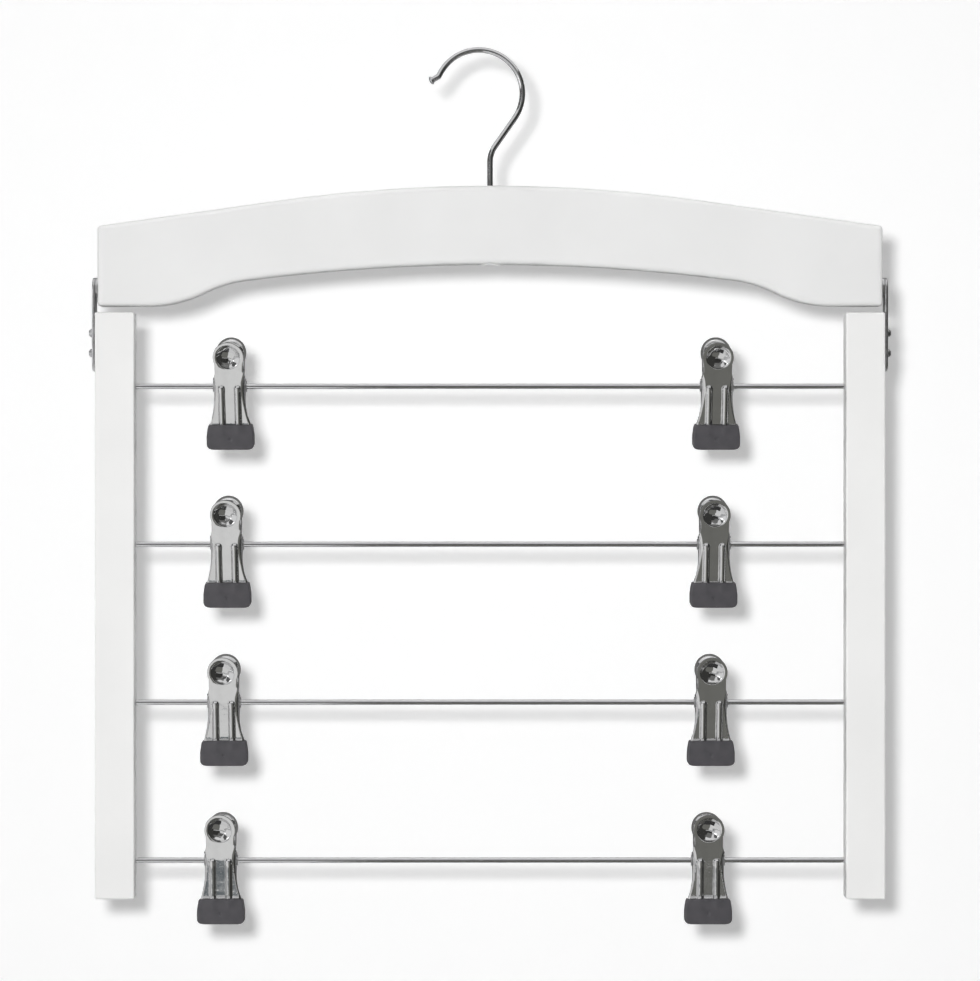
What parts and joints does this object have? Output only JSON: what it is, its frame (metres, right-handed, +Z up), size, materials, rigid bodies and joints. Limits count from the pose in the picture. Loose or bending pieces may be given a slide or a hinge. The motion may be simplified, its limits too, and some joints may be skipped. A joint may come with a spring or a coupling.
{
  "type": "multi-tier clip hanger",
  "caption": "Arched white hanger with a swivel wire hook and a hinged hanging frame of wire rods, each with sliding sprung clips whose soft tips grip skirts or trousers.",
  "frame": {"origin": "on the axis that the hanger turns about under its hook, where a rail touches the inside of the hook", "axes": "+X to the right along the crossbar as seen from the front, +Y to the back, +Z up with the hanger hung by its hook"},
  "size_m": [0.3688, 0.0256, 0.4029],
  "materials": {
    "white_paint": "wood under satin white paint",
    "bright_wire": "bright chrome-plated wire",
    "clip_chrome": "bright plated stamped sheet steel",
    "plated_steel": "dull plated steel",
    "spring_steel": "plated spring wire",
    "soft_tip": "satin charcoal soft plastic"
  },
  "bodies": {
    "hook": {"hook": "bright_wire"},
    "crossbar": {"crossbar": "white_paint", "crossbar_fasteners": "plated_steel"},
    "drop_frame": {"left_post": "white_paint", "right_post": "white_paint", "rod_1": "bright_wire", "rod_2": "bright_wire", "rod_3": "bright_wire", "rod_4": "bright_wire", "left_strap": "plated_steel", "right_strap": "plated_steel", "strap_screws": "plated_steel"},
    "clip_1_left_carrier": {"clip_1_left_rivet": "plated_steel"},
    "clip_1_left_front": {"clip_1_left_front_jaw": "clip_chrome", "clip_1_left_front_tip": "soft_tip", "clip_1_left_spring": "spring_steel"},
    "clip_1_left_rear": {"clip_1_left_rear_jaw": "clip_chrome", "clip_1_left_rear_tip": "soft_tip"},
    "clip_1_right_carrier": {"clip_1_right_rivet": "plated_steel"},
    "clip_1_right_front": {"clip_1_right_front_jaw": "clip_chrome", "clip_1_right_front_tip": "soft_tip", "clip_1_right_spring": "spring_steel"},
    "clip_1_right_rear": {"clip_1_right_rear_jaw": "clip_chrome", "clip_1_right_rear_tip": "soft_tip"},
    "clip_2_left_carrier": {"clip_2_left_rivet": "plated_steel"},
    "clip_2_left_front": {"clip_2_left_front_jaw": "clip_chrome", "clip_2_left_front_tip": "soft_tip", "clip_2_left_spring": "spring_steel"},
    "clip_2_left_rear": {"clip_2_left_rear_jaw": "clip_chrome", "clip_2_left_rear_tip": "soft_tip"},
    "clip_2_right_carrier": {"clip_2_right_rivet": "plated_steel"},
    "clip_2_right_front": {"clip_2_right_front_jaw": "clip_chrome", "clip_2_right_front_tip": "soft_tip", "clip_2_right_spring": "spring_steel"},
    "clip_2_right_rear": {"clip_2_right_rear_jaw": "clip_chrome", "clip_2_right_rear_tip": "soft_tip"},
    "clip_3_left_carrier": {"clip_3_left_rivet": "plated_steel"},
    "clip_3_left_front": {"clip_3_left_front_jaw": "clip_chrome", "clip_3_left_front_tip": "soft_tip", "clip_3_left_spring": "spring_steel"},
    "clip_3_left_rear": {"clip_3_left_rear_jaw": "clip_chrome", "clip_3_left_rear_tip": "soft_tip"},
    "clip_3_right_carrier": {"clip_3_right_rivet": "plated_steel"},
    "clip_3_right_front": {"clip_3_right_front_jaw": "clip_chrome", "clip_3_right_front_tip": "soft_tip", "clip_3_right_spring": "spring_steel"},
    "clip_3_right_rear": {"clip_3_right_rear_jaw": "clip_chrome", "clip_3_right_rear_tip": "soft_tip"},
    "clip_4_left_carrier": {"clip_4_left_rivet": "plated_steel"},
    "clip_4_left_front": {"clip_4_left_front_jaw": "clip_chrome", "clip_4_left_front_tip": "soft_tip", "clip_4_left_spring": "spring_steel"},
    "clip_4_left_rear": {"clip_4_left_rear_jaw": "clip_chrome", "clip_4_left_rear_tip": "soft_tip"},
    "clip_4_right_carrier": {"clip_4_right_rivet": "plated_steel"},
    "clip_4_right_front": {"clip_4_right_front_jaw": "clip_chrome", "clip_4_right_front_tip": "soft_tip", "clip_4_right_spring": "spring_steel"},
    "clip_4_right_rear": {"clip_4_right_rear_jaw": "clip_chrome", "clip_4_right_rear_tip": "soft_tip"}
  },
  "joints": [
    {"name": "hook_swivel", "type": "hinge", "parent": "hook", "child": "crossbar", "pos_m": [0, 0, -0.0607], "axis": [0, 0, 1], "continuous": true},
    {"name": "frame_swing", "type": "hinge", "parent": "crossbar", "child": "drop_frame", "pos_m": [0, 0, -0.10725], "axis": [1, 0, 0], "range_deg": [-90, 90]},
    {"name": "clip_1_left_slide", "type": "slide", "parent": "drop_frame", "child": "clip_1_left_carrier", "axis": [1, 0, 0], "range_m": [-0.032, 0.1081]},
    {"name": "clip_1_left_swing", "type": "hinge", "parent": "clip_1_left_carrier", "child": "clip_1_left_front", "pos_m": [-0.1195, 0, -0.15265], "axis": [1, 0, 0], "continuous": true},
    {"name": "clip_1_left_open", "type": "hinge", "parent": "clip_1_left_front", "child": "clip_1_left_rear", "pos_m": [-0.1195, 0, -0.15265], "axis": [1, 0, 0], "range_deg": [0, 35], "stiffness_Nm_per_rad": 0.12, "springref_deg": -68.75, "deforming": ["clip_1_left_spring"]},
    {"name": "clip_1_right_slide", "type": "slide", "parent": "drop_frame", "child": "clip_1_right_carrier", "axis": [1, 0, 0], "range_m": [-0.0928, 0.0473]},
    {"name": "clip_1_right_swing", "type": "hinge", "parent": "clip_1_right_carrier", "child": "clip_1_right_front", "pos_m": [0.1042, 0, -0.15265], "axis": [1, 0, 0], "continuous": true},
    {"name": "clip_1_right_open", "type": "hinge", "parent": "clip_1_right_front", "child": "clip_1_right_rear", "pos_m": [0.1042, 0, -0.15265], "axis": [1, 0, 0], "range_deg": [0, 35], "stiffness_Nm_per_rad": 0.12, "springref_deg": -68.75, "deforming": ["clip_1_right_spring"]},
    {"name": "clip_2_left_slide", "type": "slide", "parent": "drop_frame", "child": "clip_2_left_carrier", "axis": [1, 0, 0], "range_m": [-0.0307, 0.1094]},
    {"name": "clip_2_left_swing", "type": "hinge", "parent": "clip_2_left_carrier", "child": "clip_2_left_front", "pos_m": [-0.12085, 0, -0.22525], "axis": [1, 0, 0], "continuous": true},
    {"name": "clip_2_left_open", "type": "hinge", "parent": "clip_2_left_front", "child": "clip_2_left_rear", "pos_m": [-0.12085, 0, -0.22525], "axis": [1, 0, 0], "range_deg": [0, 35], "stiffness_Nm_per_rad": 0.12, "springref_deg": -68.75, "deforming": ["clip_2_left_spring"]},
    {"name": "clip_2_right_slide", "type": "slide", "parent": "drop_frame", "child": "clip_2_right_carrier", "axis": [1, 0, 0], "range_m": [-0.0914, 0.0487]},
    {"name": "clip_2_right_swing", "type": "hinge", "parent": "clip_2_right_carrier", "child": "clip_2_right_front", "pos_m": [0.10285, 0, -0.22525], "axis": [1, 0, 0], "continuous": true},
    {"name": "clip_2_right_open", "type": "hinge", "parent": "clip_2_right_front", "child": "clip_2_right_rear", "pos_m": [0.10285, 0, -0.22525], "axis": [1, 0, 0], "range_deg": [0, 35], "stiffness_Nm_per_rad": 0.12, "springref_deg": -68.75, "deforming": ["clip_2_right_spring"]},
    {"name": "clip_3_left_slide", "type": "slide", "parent": "drop_frame", "child": "clip_3_left_carrier", "axis": [1, 0, 0], "range_m": [-0.0293, 0.1108]},
    {"name": "clip_3_left_swing", "type": "hinge", "parent": "clip_3_left_carrier", "child": "clip_3_left_front", "pos_m": [-0.1222, 0, -0.29785], "axis": [1, 0, 0], "continuous": true},
    {"name": "clip_3_left_open", "type": "hinge", "parent": "clip_3_left_front", "child": "clip_3_left_rear", "pos_m": [-0.1222, 0, -0.29785], "axis": [1, 0, 0], "range_deg": [0, 35], "stiffness_Nm_per_rad": 0.12, "springref_deg": -68.75, "deforming": ["clip_3_left_spring"]},
    {"name": "clip_3_right_slide", "type": "slide", "parent": "drop_frame", "child": "clip_3_right_carrier", "axis": [1, 0, 0], "range_m": [-0.0901, 0.05]},
    {"name": "clip_3_right_swing", "type": "hinge", "parent": "clip_3_right_carrier", "child": "clip_3_right_front", "pos_m": [0.1015, 0, -0.29785], "axis": [1, 0, 0], "continuous": true},
    {"name": "clip_3_right_open", "type": "hinge", "parent": "clip_3_right_front", "child": "clip_3_right_rear", "pos_m": [0.1015, 0, -0.29785], "axis": [1, 0, 0], "range_deg": [0, 35], "stiffness_Nm_per_rad": 0.12, "springref_deg": -68.75, "deforming": ["clip_3_right_spring"]},
    {"name": "clip_4_left_slide", "type": "slide", "parent": "drop_frame", "child": "clip_4_left_carrier", "axis": [1, 0, 0], "range_m": [-0.028, 0.1121]},
    {"name": "clip_4_left_swing", "type": "hinge", "parent": "clip_4_left_carrier", "child": "clip_4_left_front", "pos_m": [-0.12355, 0, -0.37045], "axis": [1, 0, 0], "continuous": true},
    {"name": "clip_4_left_open", "type": "hinge", "parent": "clip_4_left_front", "child": "clip_4_left_rear", "pos_m": [-0.12355, 0, -0.37045], "axis": [1, 0, 0], "range_deg": [0, 35], "stiffness_Nm_per_rad": 0.12, "springref_deg": -68.75, "deforming": ["clip_4_left_spring"]},
    {"name": "clip_4_right_slide", "type": "slide", "parent": "drop_frame", "child": "clip_4_right_carrier", "axis": [1, 0, 0], "range_m": [-0.0887, 0.0514]},
    {"name": "clip_4_right_swing", "type": "hinge", "parent": "clip_4_right_carrier", "child": "clip_4_right_front", "pos_m": [0.10015, 0, -0.37045], "axis": [1, 0, 0], "continuous": true},
    {"name": "clip_4_right_open", "type": "hinge", "parent": "clip_4_right_front", "child": "clip_4_right_rear", "pos_m": [0.10015, 0, -0.37045], "axis": [1, 0, 0], "range_deg": [0, 35], "stiffness_Nm_per_rad": 0.12, "springref_deg": -68.75, "deforming": ["clip_4_right_spring"]}
  ]
}
